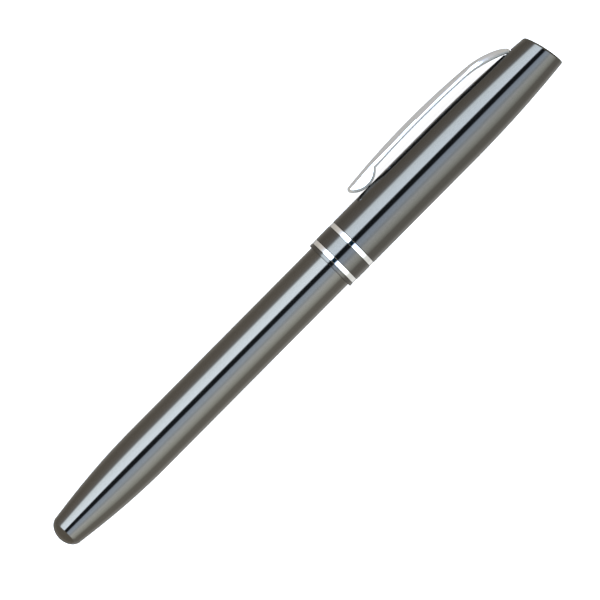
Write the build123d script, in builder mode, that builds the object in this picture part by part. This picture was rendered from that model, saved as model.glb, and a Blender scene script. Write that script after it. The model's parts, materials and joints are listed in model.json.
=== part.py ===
from build123d import *
import math
import os

# A capped rollerball pen that takes a standard 110 mm refill.
# Millimetres. The pen lies along X with the cap at +X, at rest on a table on its cap and clip.
# Outlines are drawn on the clip's own plane: first number along the pen from its tail end,
# second number out from the axis, positive towards the clip.

# ---- Whole pen ----
pen_length = 138.5
clip_lean = 27.0            # degrees that the clip dips below level when the pen lies at rest
fit_gap = 0.02              # between pieces that are pressed or glued together
run_gap = 0.10              # between pieces that move past each other

# ---- Barrel ----
barrel_radius = 5.16
tail_dome_length = 2.7
tail_dome_radius = 3.49
tail_slope = 0.125          # how fast the tail opens just above its dome
tail_handle, cylinder_handle = 0.2, 0.45    # shares of the taper its curve takes to turn at each end
taper_end = 25.5            # from here on the barrel is a plain cylinder
barrel_mouth = 77.55
lead_start, lead_radius = 76.75, 5.02       # the slight cone that leads the cap on, under its lip
barrel_bore = 4.62
tail_floor = 3.0
spring_seat_radius = 2.9
spring_seat_end = 13.5
spring_seat_mouth = 4.0

# ---- Thread between barrel and grip section, right-handed ----
thread_pitch = 1.0
male_root, male_crest = 3.45, 4.00
male_half_root, male_half_crest = 0.36, 0.12
female_crest, female_root = 3.60, 4.15
female_half_crest, female_half_root = 0.395, 0.155
thread_start, thread_turns = 68.4, 7
thread_sink = 0.05          # the tooth starts this far inside the wall that carries it
bush_start, bush_end = 66.0, 77.5

# ---- Refill: a standard rollerball cartridge ----
refill_tail = 13.5
refill_radius = 3.0
refill_bore = 2.7
refill_shoulder = 108.9
plug_flange, plug_end = 0.8, 17.0
holder_start, holder_flange = 98.5, 0.9
reservoir_start, reservoir_end, reservoir_radius = 18.0, 98.0, 2.6
nose_radius, nose_end = 2.3, 115.0
feed_radius, feed_start, feed_end = 0.7, 94.0, 118.0
tip_radius, tip_start, tip_cone_start, tip_end = 1.15, 110.5, 119.3, 123.2
tip_lip_radius = 0.46
ball_radius, ball_centre = 0.35, 123.05
socket_radius = 0.37
ink_channel_radius = 0.22

# ---- Grip section ----
section_start, section_end = 78.9, 112.0
grip_radius = 4.45
grip_groove = (80.2, 80.5, 81.6, 81.9)
grip_groove_radius = 4.22
grip_taper_start, grip_waist, grip_waist_radius = 88.0, 108.0, 3.85
grip_front_radius = 4.0
grip_taper_handles = (95.0, 101.0)
grip_front_handles = (109.5, 111.0)
coupler_start = 68.0
sleeve_end, sleeve_radius = 90.0, 3.58
refill_clear = 3.12
spigot_start, spigot_radius = 106.0, 3.38
cone_end, cone_front_radius = 121.5, 1.55
cone_back_radius = 3.95
trim_start, trim_radius, trim_round = 77.65, 4.65, 0.2
nose_clearance = 0.12       # round the refill's nose and tip
shoulder_clearance = 0.06   # between the refill's shoulder and the cone's stop
cone_round = 0.15

# ---- Cap ----
cap_radius = 5.72
cap_wall_bore = 5.14
cap_lip = 76.8
lip_radius = 5.70
lip_bore = 5.26
cap_bore = 4.76
cap_straight_end = 112.0
cap_shoulder_curve = 260.0  # radius of the long arc that narrows the cap towards its crown
crown_curve = 24.5          # radius of the slanted, slightly domed crown
crown_centre = (113.98, -5.0)
crown_edge = 0.35
crown_cut_start, crown_cut_length = 130.5, 15.0
crown_seat, crown_radius = 133.5, 4.0
carrier_start, carrier_end = 126.6, 133.4
carrier_back_bore = 4.35    # bore of the cap shell at the crown seat
ring_seat_radius = 5.42
ring_radius = 5.67
lower_ring = (77.58, 78.65)
band = (78.68, 82.37)
upper_ring = (82.40, 83.50)
seam, ring_round = 0.03, 0.15
bush_plug_end = 91.0
inner_cap_start, inner_cap_end = 91.2, 126.4
inner_cap_bore, inner_cap_cone = 4.6, 113.0
screw_well_radius, screw_well_start, screw_well_floor = 2.0, 124.2, 125.25

# ---- Clutch ring that snaps the cap on ----
clutch = (80.35, 81.75)
clutch_inner, clutch_outer = 4.34, 5.02
clutch_split = 0.8
clutch_groove = (80.2, 81.9)
clutch_groove_radius = 5.14

# ---- Clip ----
clip_pivot = (131.6, 3.6)
clip_tip_width, clip_width, clip_neck_width = 2.7, 3.5, 2.9
clip_plan_tip, clip_plan_widest, clip_plan_neck = 89.0, 122.0, 133.5    # where it has those widths
clip_edge = 0.5
tip_top, tip_nose, tip_under = (90.60, 8.50), (89.94, 7.84), (90.11, 7.40)
foot_belly, foot_heel = (93.4, 5.80), (97.2, 7.36)
top_crest, top_end = (107.0, 9.42), (124.5, 8.66)
under_crest, under_end = (110.2, 7.70), (123.2, 7.26)
neck_top, neck_under = (132.78, 5.02), (131.7, 4.84)
neck_top_handles = ((128.2, 8.31), (132.75, 6.3))
neck_under_handles = ((129.2, 5.68), (125.8, 7.09))
channel_start, channel_middle, channel_end = (99.5, 8.50), (111.5, 8.80), (124.0, 8.13)
channel_mouth, channel_width = 6.5, 2.1
tang_width = 2.4
tang_eye_radius = 1.1
tang_neck = ((131.3, 5.1), neck_top, (132.7, 3.6), (131.2, 3.6))
tang_lever_length, tang_lever_height = 1.1, 2.0     # the lever below the pin that the spring presses
pin_radius, pin_length, pin_hole = 0.40, 3.6, 0.46
clip_spring_height, clip_spring_radius, clip_spring_wire = 2.05, 0.65, 0.12
clip_spring_span = (127.0, 130.9)
clip_spring_turns = 5
clip_spring_play = 0.08
clip_slot = (130.5, 133.1)
slot_corner = 0.3
carrier_slot_floor = 1.25

# ---- Crown screw ----
screw_radius, screw_head_radius, screw_head_start = 0.8, 1.5, 124.45
screw_end = 135.8
screw_slot = 0.35

# ---- Refill spring ----
refill_spring_radius, refill_spring_wire, refill_spring_turns = 2.2, 0.25, 6

half_length = pen_length / 2
lean = math.radians(clip_lean)
side_normal = (0, math.sin(lean), math.cos(lean))
clip_direction = (0, math.cos(lean), -math.sin(lean))
side = Plane(origin=(-half_length, 0, 0), x_dir=(1, 0, 0), z_dir=side_normal)
plan = Plane(origin=(-half_length, 0, 0), x_dir=(1, 0, 0), z_dir=tuple(-v for v in clip_direction))
level = Plane(origin=(-half_length, 0, 0), x_dir=(1, 0, 0), z_dir=(0, 0, 1))

os.makedirs("parts", exist_ok=True)


def save(part, name):
    """Label a finished piece and write it."""
    part.label = name
    export_step(part, f"parts/{name}.step")


def cross_plane(position):
    """The plane across the pen at a distance from the tail, with its y towards the clip."""
    normal_x = tuple(-v for v in side_normal)
    return Plane(origin=(position - half_length, 0, 0), x_dir=normal_x, z_dir=(1, 0, 0))


def turned(*outline):
    """A ring, tube or plug turned about the pen's axis from a closed straight-sided outline."""
    with BuildPart() as piece:
        with BuildSketch(level):
            with BuildLine():
                Polyline(*outline, close=True)
            make_face()
        revolve(axis=Axis.X)
    return piece.part


def ring(start, end, inner, outer):
    """A plain ring about the pen's axis."""
    return turned((start, inner), (end, inner), (end, outer), (start, outer))


def thread_tooth(root, crest, half_root, half_crest, start, length):
    """One helical ridge with sloped flanks, used solid on the male side and as a cutter on the other."""
    with BuildPart() as tooth:
        with BuildLine():
            path = Helix(thread_pitch, length, root, center=(start - half_length, 0, 0), direction=(1, 0, 0))
        origin = path @ 0
        across = Vector(0, origin.Y, origin.Z).normalized()
        with BuildSketch(Plane(origin=origin, x_dir=across, z_dir=path % 0)):
            with BuildLine():
                Polyline(
                    (0, -half_root), (crest - root, -half_crest),
                    (crest - root, half_crest), (0, half_root), close=True,
                )
            make_face()
        sweep(path=path.edge(), is_frenet=True)
    return tooth.part


def coil_spring(start, end, height, mean_radius, wire_radius, turns):
    """A round-wire coil whose axis runs along the pen, a given height from the pen's axis."""
    length = end - start - 2 * wire_radius
    middle = side.from_local_coords((start + wire_radius, height, 0))
    with BuildPart() as coil:
        with BuildLine():
            path = Helix(length / turns, length, mean_radius, center=middle, direction=(1, 0, 0))
        with BuildSketch(Plane(origin=path @ 0, z_dir=path % 0)):
            Circle(wire_radius)
        sweep(path=path.edge(), is_frenet=True)
    return coil.part


# ======== Barrel ========

taper_length = taper_end - tail_dome_length
tail_reach = tail_handle * taper_length
with BuildPart() as barrel_shell:
    with BuildSketch(side):
        with BuildLine():
            EllipticalCenterArc((tail_dome_length, 0), tail_dome_length, tail_dome_radius, 180, arc_size=-90)
            Bezier(
                (tail_dome_length, tail_dome_radius),
                (tail_dome_length + tail_reach, tail_dome_radius + tail_reach * tail_slope),
                (taper_end - cylinder_handle * taper_length, barrel_radius),
                (taper_end, barrel_radius),
            )
            Polyline(
                (taper_end, barrel_radius), (lead_start, barrel_radius),
                (barrel_mouth, lead_radius), (barrel_mouth, barrel_bore),
                (taper_end, barrel_bore), (spring_seat_end, spring_seat_mouth),
                (tail_floor, spring_seat_radius), (tail_floor, 0), (0, 0),
            )
        make_face()
    revolve(axis=Axis.X)
save(barrel_shell.part, "barrel_shell")

female_cutter = thread_tooth(
    female_crest - thread_sink, female_root, female_half_crest, female_half_root,
    thread_start - 3 * thread_pitch, (thread_turns + 6) * thread_pitch,
)
bush_blank = ring(bush_start, bush_end, female_crest, barrel_bore - fit_gap)
with BuildPart() as barrel_bush:
    add(bush_blank)
    add(female_cutter, mode=Mode.SUBTRACT)
save(barrel_bush.part, "barrel_bush")

refill_spring = coil_spring(
    tail_floor + fit_gap, refill_tail - fit_gap, 0,
    refill_spring_radius, refill_spring_wire, refill_spring_turns,
)
save(refill_spring, "refill_spring")

# ======== Grip section ========

male_tooth = thread_tooth(
    male_root - thread_sink, male_crest, male_half_root, male_half_crest,
    thread_start, thread_turns * thread_pitch,
)
coupler_blank = turned(
    (coupler_start, refill_clear), (coupler_start, male_root), (trim_start, male_root),
    (trim_start, sleeve_radius),
    (sleeve_end, sleeve_radius), (sleeve_end, refill_clear),
)
with BuildPart() as section_coupler:
    add(coupler_blank)
    add(male_tooth)
save(section_coupler.part, "section_coupler")

trim_blank = ring(trim_start, section_start - fit_gap, sleeve_radius + fit_gap, trim_radius)
with BuildPart() as section_trim_ring:
    add(trim_blank)
    fillet(section_trim_ring.edges().filter_by(GeomType.CIRCLE).sort_by(SortBy.RADIUS)[-2:], trim_round)
save(section_trim_ring.part, "section_trim_ring")

with BuildPart() as grip_section:
    with BuildSketch(side):
        with BuildLine():
            Polyline(
                (section_start, sleeve_radius + fit_gap), (section_start, grip_radius),
                (grip_groove[0], grip_radius), (grip_groove[1], grip_groove_radius),
                (grip_groove[2], grip_groove_radius), (grip_groove[3], grip_radius),
                (grip_taper_start, grip_radius),
            )
            Bezier(
                (grip_taper_start, grip_radius), (grip_taper_handles[0], grip_radius),
                (grip_taper_handles[1], grip_waist_radius), (grip_waist, grip_waist_radius),
            )
            Bezier(
                (grip_waist, grip_waist_radius), (grip_front_handles[0], grip_waist_radius),
                (grip_front_handles[1], grip_front_radius), (section_end, grip_front_radius),
            )
            Polyline(
                (section_end, grip_front_radius), (section_end, spigot_radius + fit_gap),
                (spigot_start - fit_gap, spigot_radius + fit_gap), (spigot_start - fit_gap, refill_clear),
                (sleeve_end + fit_gap, refill_clear), (sleeve_end + fit_gap, sleeve_radius + fit_gap),
                (section_start, sleeve_radius + fit_gap),
            )
        make_face()
    revolve(axis=Axis.X)
save(grip_section.part, "grip_section")

shoulder_stop = refill_shoulder + shoulder_clearance
nose_bore = nose_radius + nose_clearance
tip_bore = tip_radius + nose_clearance
cone_blank = turned(
    (spigot_start, refill_clear), (spigot_start, spigot_radius), (section_end + fit_gap, spigot_radius),
    (section_end + fit_gap, cone_back_radius), (cone_end, cone_front_radius),
    (cone_end, tip_bore), (nose_end + run_gap, tip_bore), (nose_end + run_gap, nose_bore),
    (shoulder_stop, nose_bore), (shoulder_stop, refill_clear),
)
with BuildPart() as nose_cone:
    add(cone_blank)
    fillet(nose_cone.edges().filter_by(GeomType.CIRCLE).sort_by(SortBy.RADIUS)[-1:], cone_round)
save(nose_cone.part, "nose_cone")

# ======== Refill ========

plug_flange_end = refill_tail + plug_flange
flange_start = refill_shoulder - holder_flange
refill_tube = ring(plug_flange_end + fit_gap, flange_start - fit_gap, refill_bore, refill_radius)
save(refill_tube, "refill_tube")

refill_plug = turned(
    (refill_tail, 0), (refill_tail, refill_radius), (plug_flange_end, refill_radius),
    (plug_flange_end, refill_bore - fit_gap), (plug_end, refill_bore - fit_gap), (plug_end, 0),
)
save(refill_plug, "refill_plug")

ink_reservoir = turned(
    (reservoir_start, 0), (reservoir_start, reservoir_radius), (reservoir_end, reservoir_radius),
    (reservoir_end, feed_radius + fit_gap), (feed_start - fit_gap, feed_radius + fit_gap),
    (feed_start - fit_gap, 0),
)
save(ink_reservoir, "ink_reservoir")

feed_rod = turned((feed_start, 0), (feed_start, feed_radius), (feed_end, feed_radius), (feed_end, 0))
save(feed_rod, "feed_rod")

tip_holder = turned(
    (holder_start, feed_radius + fit_gap), (holder_start, refill_bore - fit_gap),
    (flange_start, refill_bore - fit_gap), (flange_start, refill_radius),
    (refill_shoulder, refill_radius), (refill_shoulder, nose_radius), (nose_end, nose_radius),
    (nose_end, tip_radius + fit_gap), (tip_start - fit_gap, tip_radius + fit_gap),
    (tip_start - fit_gap, feed_radius + fit_gap),
)
save(tip_holder, "tip_holder")

tip_blank = turned(
    (tip_start, feed_radius + fit_gap), (tip_start, tip_radius), (tip_cone_start, tip_radius),
    (tip_end, tip_lip_radius), (tip_end, 0), (feed_end + 1, 0), (feed_end + 1, ink_channel_radius),
    (feed_end + fit_gap, ink_channel_radius), (feed_end + fit_gap, feed_radius + fit_gap),
)
with BuildPart() as writing_tip:
    add(tip_blank)
    with BuildSketch(side):
        with Locations(((feed_end + ball_centre) / 2, ink_channel_radius / 2)):
            Rectangle(ball_centre - feed_end, ink_channel_radius)
    revolve(axis=Axis.X, mode=Mode.SUBTRACT)
    with Locations((ball_centre - half_length, 0, 0)):
        Sphere(socket_radius, mode=Mode.SUBTRACT)
save(writing_tip.part, "writing_tip")

with BuildPart() as writing_ball:
    with Locations((ball_centre - half_length, 0, 0)):
        Sphere(ball_radius)
save(writing_ball.part, "writing_ball")

# ======== Cap ========


def shoulder_radius(position):
    """Outer radius of the cap on the long arc that narrows it."""
    along = max(0.0, position - cap_straight_end)
    return cap_radius - cap_shoulder_curve + math.sqrt(cap_shoulder_curve**2 - along**2)


def shell_bore(position):
    """Bore of the cap shell: straight, then narrowing evenly to the crown seat."""
    share = max(0.0, position - cap_straight_end) / (crown_seat - cap_straight_end)
    return cap_wall_bore + (carrier_back_bore - cap_wall_bore) * share


# What the slanted top cuts away: all that lies past a patch of a big ball.
with BuildPart() as crown_cutter:
    with BuildSketch(cross_plane(crown_cut_start)):
        Circle(2 * cap_radius)
    extrude(amount=crown_cut_length)
    with Locations(side.from_local_coords((crown_centre[0], crown_centre[1], 0))):
        Sphere(crown_curve, mode=Mode.SUBTRACT)


cap_start = upper_ring[1] + seam
blank_end = pen_length + 1
blank_middle = (cap_straight_end + blank_end) / 2
with BuildPart() as cap_shell:
    with BuildSketch(side):
        with BuildLine():
            Polyline((blank_end, shoulder_radius(blank_end)), (blank_end, 0), (cap_start, 0),
                     (cap_start, cap_radius), (cap_straight_end, cap_radius))
            ThreePointArc((cap_straight_end, cap_radius), (blank_middle, shoulder_radius(blank_middle)),
                          (blank_end, shoulder_radius(blank_end)))
        make_face()
    revolve(axis=Axis.X)
    add(crown_cutter.part, mode=Mode.SUBTRACT)
    fillet(cap_shell.edges().filter_by(lambda edge: edge.center().X > half_length - 4), crown_edge)
    with BuildSketch(side):
        with BuildLine():
            Polyline(
                (cap_start, 0), (cap_start, cap_wall_bore), (cap_straight_end, cap_wall_bore),
                (crown_seat, carrier_back_bore), (crown_seat, crown_radius), (blank_end, crown_radius),
                (blank_end, 0), close=True,
            )
        make_face()
    revolve(axis=Axis.X, mode=Mode.SUBTRACT)
    slot_half = clip_neck_width / 2 + run_gap
    with BuildSketch(plan):
        with Locations((sum(clip_slot) / 2, 0)):
            RectangleRounded(clip_slot[1] - clip_slot[0], 2 * slot_half, slot_corner)
    extrude(amount=-cap_radius, mode=Mode.SUBTRACT)
save(cap_shell.part, "cap_shell")

mouth_bush = turned(
    (cap_lip, lip_bore), (cap_lip, lip_radius), (lower_ring[0] - seam, lip_radius),
    (lower_ring[0] - seam, ring_seat_radius), (upper_ring[1], ring_seat_radius),
    (upper_ring[1], cap_wall_bore - fit_gap), (bush_plug_end, cap_wall_bore - fit_gap),
    (bush_plug_end, cap_bore), (clutch_groove[1], cap_bore), (clutch_groove[1], clutch_groove_radius),
    (clutch_groove[0], clutch_groove_radius), (clutch_groove[0], cap_bore),
    (barrel_mouth + run_gap, cap_bore), (barrel_mouth + run_gap, lip_bore),
)
save(mouth_bush, "mouth_bush")

ring_bore = ring_seat_radius + fit_gap
for name, (start, end) in {"cap_ring_lower": lower_ring, "cap_ring_upper": upper_ring}.items():
    ring_blank = ring(start, end, ring_bore, ring_radius)
    with BuildPart() as cap_ring:
        add(ring_blank)
        fillet(cap_ring.edges().filter_by(GeomType.CIRCLE).sort_by(SortBy.RADIUS)[-2:], ring_round)
    save(cap_ring.part, name)

centre_band = ring(band[0], band[1], ring_bore, cap_radius)
save(centre_band, "centre_band")

inner_cap = turned(
    (inner_cap_start, cap_wall_bore - fit_gap), (cap_straight_end, cap_wall_bore - fit_gap),
    (inner_cap_end, shell_bore(inner_cap_end) - fit_gap), (inner_cap_end, screw_radius + run_gap),
    (screw_well_floor, screw_radius + run_gap), (screw_well_floor, screw_well_radius),
    (screw_well_start, screw_well_radius), (inner_cap_cone, inner_cap_bore),
    (inner_cap_start, inner_cap_bore),
)
save(inner_cap, "inner_cap")

with BuildPart() as clutch_ring:
    with BuildSketch(cross_plane(clutch[0])):
        Circle(clutch_outer)
        Circle(clutch_inner, mode=Mode.SUBTRACT)
        with Locations((0, -clutch_outer)):
            Rectangle(clutch_split, clutch_outer, mode=Mode.SUBTRACT)
    extrude(amount=clutch[1] - clutch[0])
save(clutch_ring.part, "clutch_ring")

screw_hole_end = screw_end + run_gap
crown_blank = ring(crown_seat + fit_gap, blank_end, 0, crown_radius - fit_gap)
with BuildPart() as crown:
    add(crown_blank)
    add(crown_cutter.part, mode=Mode.SUBTRACT)
    with BuildSketch(side):
        with Locations(((crown_seat + screw_hole_end) / 2, (screw_radius + fit_gap) / 2)):
            Rectangle(screw_hole_end - crown_seat, screw_radius + fit_gap)
    revolve(axis=Axis.X, mode=Mode.SUBTRACT)
save(crown.part, "crown")

screw_blank = turned(
    (screw_head_start, 0), (screw_head_start, screw_head_radius),
    (screw_well_floor - fit_gap, screw_head_radius), (screw_well_floor - fit_gap, screw_radius),
    (screw_end, screw_radius), (screw_end, 0),
)
with BuildPart() as crown_screw:
    add(screw_blank)
    with BuildSketch(Plane.YZ.offset(screw_head_start - half_length)):
        Rectangle(screw_slot, 2 * screw_head_radius)
    extrude(amount=screw_slot, mode=Mode.SUBTRACT)
save(crown_screw.part, "crown_screw")

# ======== Clip and its spring hinge, inside the top of the cap ========

cavity_half = tang_width / 2 + run_gap
spring_pocket_radius = clip_spring_radius + clip_spring_wire + clip_spring_play
with BuildPart() as clip_carrier:
    with BuildSketch(side):
        with BuildLine():
            Polyline(
                (carrier_start, screw_radius + run_gap),
                (carrier_start, shell_bore(carrier_start) - fit_gap),
                (carrier_end, shell_bore(carrier_end) - fit_gap),
                (carrier_end, screw_radius + run_gap), close=True,
            )
        make_face()
    revolve(axis=Axis.X)
    with BuildSketch(side):
        with Locations((sum(clip_slot) / 2, carrier_slot_floor)):
            Rectangle(clip_slot[1] - clip_slot[0], cap_radius, align=(Align.CENTER, Align.MIN))
    extrude(amount=cavity_half, both=True, mode=Mode.SUBTRACT)
    with BuildSketch(side):
        with Locations(clip_pivot):
            Circle(pin_radius + fit_gap / 2)
    extrude(amount=pin_length / 2, both=True, mode=Mode.SUBTRACT)
    with BuildSketch(cross_plane(clip_spring_span[0] - fit_gap)):
        with Locations((0, clip_spring_height)):
            Circle(spring_pocket_radius)
    extrude(amount=clip_slot[0] - clip_spring_span[0] + run_gap, mode=Mode.SUBTRACT)
save(clip_carrier.part, "clip_carrier")

with BuildPart() as clip_pin:
    with BuildSketch(side):
        with Locations(clip_pivot):
            Circle(pin_radius)
    extrude(amount=pin_length / 2 - fit_gap, both=True)
save(clip_pin.part, "clip_pin")

clip_spring = coil_spring(
    clip_spring_span[0], clip_spring_span[1], clip_spring_height,
    clip_spring_radius, clip_spring_wire, clip_spring_turns,
)
save(clip_spring, "clip_spring")

channel_low = (channel_end[0], channel_mouth)
with BuildPart() as clip:
    with BuildSketch(side):
        with BuildLine():
            ThreePointArc(tip_under, tip_nose, tip_top)
            ThreePointArc(tip_top, top_crest, top_end)
            Bezier(top_end, *neck_top_handles, neck_top)
            Line(neck_top, neck_under)
            Bezier(neck_under, *neck_under_handles, under_end)
            ThreePointArc(under_end, under_crest, foot_heel)
            ThreePointArc(foot_heel, foot_belly, tip_under)
        make_face()
    extrude(amount=clip_width / 2, both=True)
    with BuildSketch(plan):
        with BuildLine():
            Polyline(
                (clip_plan_tip, clip_tip_width / 2), (clip_plan_widest, clip_width / 2),
                (clip_plan_neck, clip_neck_width / 2), (clip_plan_neck, -clip_neck_width / 2),
                (clip_plan_widest, -clip_width / 2), (clip_plan_tip, -clip_tip_width / 2), close=True,
            )
        make_face()
    extrude(amount=2 * cap_radius, both=True, mode=Mode.INTERSECT)
    upper_edges = clip.edges().filter_by(lambda edge: side.to_local_coords(edge @ 0.5).Y > 8)
    side_edges = upper_edges.filter_by(lambda edge: abs(side.to_local_coords(edge @ 0.5).Z) > 1)
    fillet(side_edges.filter_by(lambda edge: edge.length > 8), clip_edge)
    with BuildSketch(side):
        with BuildLine():
            ThreePointArc(channel_start, channel_middle, channel_end)
            Polyline(channel_end, channel_low, (channel_start[0], channel_mouth), channel_start)
        make_face()
    extrude(amount=channel_width / 2, both=True, mode=Mode.SUBTRACT)
    with BuildSketch(side):
        with Locations(clip_pivot):
            Circle(tang_eye_radius)
            Rectangle(tang_lever_length, tang_lever_height, align=(Align.CENTER, Align.MAX))
        with BuildLine():
            Polyline(*tang_neck, close=True)
        make_face()
    extrude(amount=tang_width / 2, both=True)
    with BuildSketch(side):
        with Locations(clip_pivot):
            Circle(pin_hole)
    extrude(amount=tang_width, both=True, mode=Mode.SUBTRACT)
save(clip.part, "clip")
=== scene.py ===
import json
import math

import bmesh
import bpy
from mathutils import Matrix, Vector


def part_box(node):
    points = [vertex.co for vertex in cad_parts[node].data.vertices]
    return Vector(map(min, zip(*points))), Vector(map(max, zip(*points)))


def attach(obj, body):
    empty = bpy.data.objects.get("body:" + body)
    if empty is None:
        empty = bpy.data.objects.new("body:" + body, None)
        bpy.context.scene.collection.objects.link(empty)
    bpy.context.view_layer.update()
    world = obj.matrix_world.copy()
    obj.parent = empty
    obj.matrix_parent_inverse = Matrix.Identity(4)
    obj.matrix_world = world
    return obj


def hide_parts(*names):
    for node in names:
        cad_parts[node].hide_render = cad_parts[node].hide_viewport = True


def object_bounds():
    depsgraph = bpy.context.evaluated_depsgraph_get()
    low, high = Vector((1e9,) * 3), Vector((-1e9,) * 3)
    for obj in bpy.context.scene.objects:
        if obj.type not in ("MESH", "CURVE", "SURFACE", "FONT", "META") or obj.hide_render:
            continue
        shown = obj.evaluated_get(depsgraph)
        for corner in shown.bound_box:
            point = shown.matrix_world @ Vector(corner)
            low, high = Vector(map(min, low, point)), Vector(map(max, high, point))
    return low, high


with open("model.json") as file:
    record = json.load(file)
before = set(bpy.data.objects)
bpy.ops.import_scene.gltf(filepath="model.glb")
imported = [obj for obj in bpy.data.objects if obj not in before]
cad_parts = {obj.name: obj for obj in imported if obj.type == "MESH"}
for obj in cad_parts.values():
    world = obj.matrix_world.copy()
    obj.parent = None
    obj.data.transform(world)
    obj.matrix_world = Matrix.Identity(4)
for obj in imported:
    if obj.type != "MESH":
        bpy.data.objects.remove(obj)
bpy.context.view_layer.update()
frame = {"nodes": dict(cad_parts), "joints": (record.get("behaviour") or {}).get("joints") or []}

# ---------------------------------------------------------------- the frame, read from the CAD
# The pen lies along X, cap at +X. Outlines below are in millimetres: first number along the pen
# from its tail end, second number out from its axis, positive towards the clip.

MM = 0.001
ALONG = Vector((1, 0, 0))


def joint(name):
    return next(j for j in frame["joints"] if j["name"] == name)


def node_span(node):
    """Start and end of a node along the pen, and its outer radius, in millimetres."""
    low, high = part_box(node)
    return (low[0] - TAIL) / MM, (high[0] - TAIL) / MM, (high[1] - low[1]) / 2 / MM


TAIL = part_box("barrel_shell")[0][0]
SIDE = -Vector(joint("clip_lift")["axis"]).normalized()     # across the pen, square to the clip
CLIP = SIDE.cross(ALONG)                                    # from the axis towards the clip
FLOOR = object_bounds()[0][2]

FIT_GAP = 0.02              # between pieces that are pressed or glued together
RUN_GAP = 0.10              # between pieces that move past each other
SEGMENTS = 256              # facets round the pen
TURNS = [math.tau * k / SEGMENTS for k in range(SEGMENTS)]  # their angles from the clip
SHARP_ANGLE = math.radians(32)      # an edge bent by more than this stays crisp
WELD = 1e-7                 # points closer than this, in metres, become one


def place(x, height, side=0.0):
    """A point in the shared frame from millimetres along, towards the clip and across."""
    return Vector((TAIL + x * MM, 0, 0)) + CLIP * (height * MM) + SIDE * (side * MM)


# ---------------------------------------------------------------- outlines

FILLET_STEPS = 6
FILLET_SHARE = 0.45         # the most of a side that a fillet takes
SUPPORT_SHARE = 0.2         # the most of a side between a fillet and its support point
SUPPORT_LEAST, SUPPORT_GROWTH = 0.03, 0.3   # that distance grows with the fillet's radius


def arc_through(start, middle, end, count):
    """Points on the circle through three points, from start to end."""
    ax, ay = start
    bx, by = middle
    cx, cy = end
    turn = 2 * (ax * (by - cy) + bx * (cy - ay) + cx * (ay - by))
    a2, b2, c2 = ax * ax + ay * ay, bx * bx + by * by, cx * cx + cy * cy
    ox = (a2 * (by - cy) + b2 * (cy - ay) + c2 * (ay - by)) / turn
    oy = (a2 * (cx - bx) + b2 * (ax - cx) + c2 * (bx - ax)) / turn
    radius = math.hypot(ax - ox, ay - oy)
    first = math.atan2(ay - oy, ax - ox)
    sweep = (math.atan2(cy - oy, cx - ox) - first) % math.tau
    via = (math.atan2(by - oy, bx - ox) - first) % math.tau
    if via > sweep:
        sweep -= math.tau
    angles = [first + sweep * i / count for i in range(count + 1)]
    return [(ox + radius * math.cos(a), oy + radius * math.sin(a)) for a in angles]


def bezier(a, b, c, d, count):
    """Points on a cubic curve with handles b and c."""
    points = []
    for i in range(count + 1):
        t = i / count
        s = 1 - t
        weights = (s**3, 3 * s * s * t, 3 * s * t * t, t**3)
        points.append(tuple(sum(w * p[k] for w, p in zip(weights, (a, b, c, d))) for k in (0, 1)))
    return points


def rounded(*corners, closed=True):
    """An outline whose corners (x, radius, fillet) are eased by small arcs.

    A support point on each side of an arc keeps the faces beside it flat.
    """
    outline = []
    count = len(corners)
    for i, corner in enumerate(corners):
        here = Vector(corner[:2])
        fillet = corner[2] if len(corner) > 2 else 0
        if fillet == 0 or (not closed and i in (0, count - 1)):
            outline.append(tuple(here))
            continue
        before = Vector(corners[i - 1][:2]) - here
        after = Vector(corners[(i + 1) % count][:2]) - here
        shorter = min(before.length, after.length)
        half = before.angle(after) / 2
        reach = min(fillet / math.tan(half), FILLET_SHARE * shorter)
        support = min(SUPPORT_GROWTH * fillet + SUPPORT_LEAST, SUPPORT_SHARE * shorter)
        before.normalize()
        after.normalize()
        start, end = here + before * reach, here + after * reach
        centre = here + (before + after).normalized() * reach / math.cos(half)
        middle = centre + (here - centre).normalized() * (start - centre).length
        outline.append(tuple(start + before * support))
        outline += arc_through(tuple(start), tuple(middle), tuple(end), FILLET_STEPS)
        outline.append(tuple(end + after * support))
    return outline


# ---------------------------------------------------------------- meshes


def new_mesh(name, vertices, faces):
    mesh = bpy.data.meshes.new(name)
    mesh.from_pydata([tuple(v) for v in vertices], [], faces)
    return mesh


def new_object(name, data):
    thing = bpy.data.objects.new(name, data)
    bpy.context.scene.collection.objects.link(thing)
    return thing


def finish_mesh(name, body, vertices, faces, material, replaced=()):
    """A smooth-shaded piece from points and faces, riding on a body and standing for CAD nodes."""
    mesh = new_mesh(name, vertices, faces)
    work = bmesh.new()
    work.from_mesh(mesh)
    bmesh.ops.remove_doubles(work, verts=work.verts, dist=WELD)
    bmesh.ops.recalc_face_normals(work, faces=work.faces)
    if work.calc_volume(signed=True) < 0:
        bmesh.ops.reverse_faces(work, faces=work.faces)
    work.to_mesh(mesh)
    work.free()
    mesh.shade_smooth()
    piece = new_object(name, mesh)
    mesh.materials.append(material)
    mesh.set_sharp_from_angle(angle=SHARP_ANGLE)
    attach(piece, body)
    if replaced:
        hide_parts(*replaced)
    return piece


def rings(outline):
    """Rows of points for skin, each at one distance along the pen and one radius."""
    return [[point] * SEGMENTS for point in outline]


def skin(rows, closed):
    """Vertices and faces of a surface round the pen, from rows of one (x, radius) for each turn."""
    vertices, faces = [], []
    for row in rows:
        for turn, (x, radius) in zip(TURNS, row):
            vertices.append(place(x, radius * math.cos(turn), radius * math.sin(turn)))
    last = len(rows) if closed else len(rows) - 1
    for i in range(last):
        here, there = i * SEGMENTS, (i + 1) % len(rows) * SEGMENTS
        for k in range(SEGMENTS):
            n = (k + 1) % SEGMENTS
            faces.append((here + k, here + n, there + n, there + k))
    return vertices, faces


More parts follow.
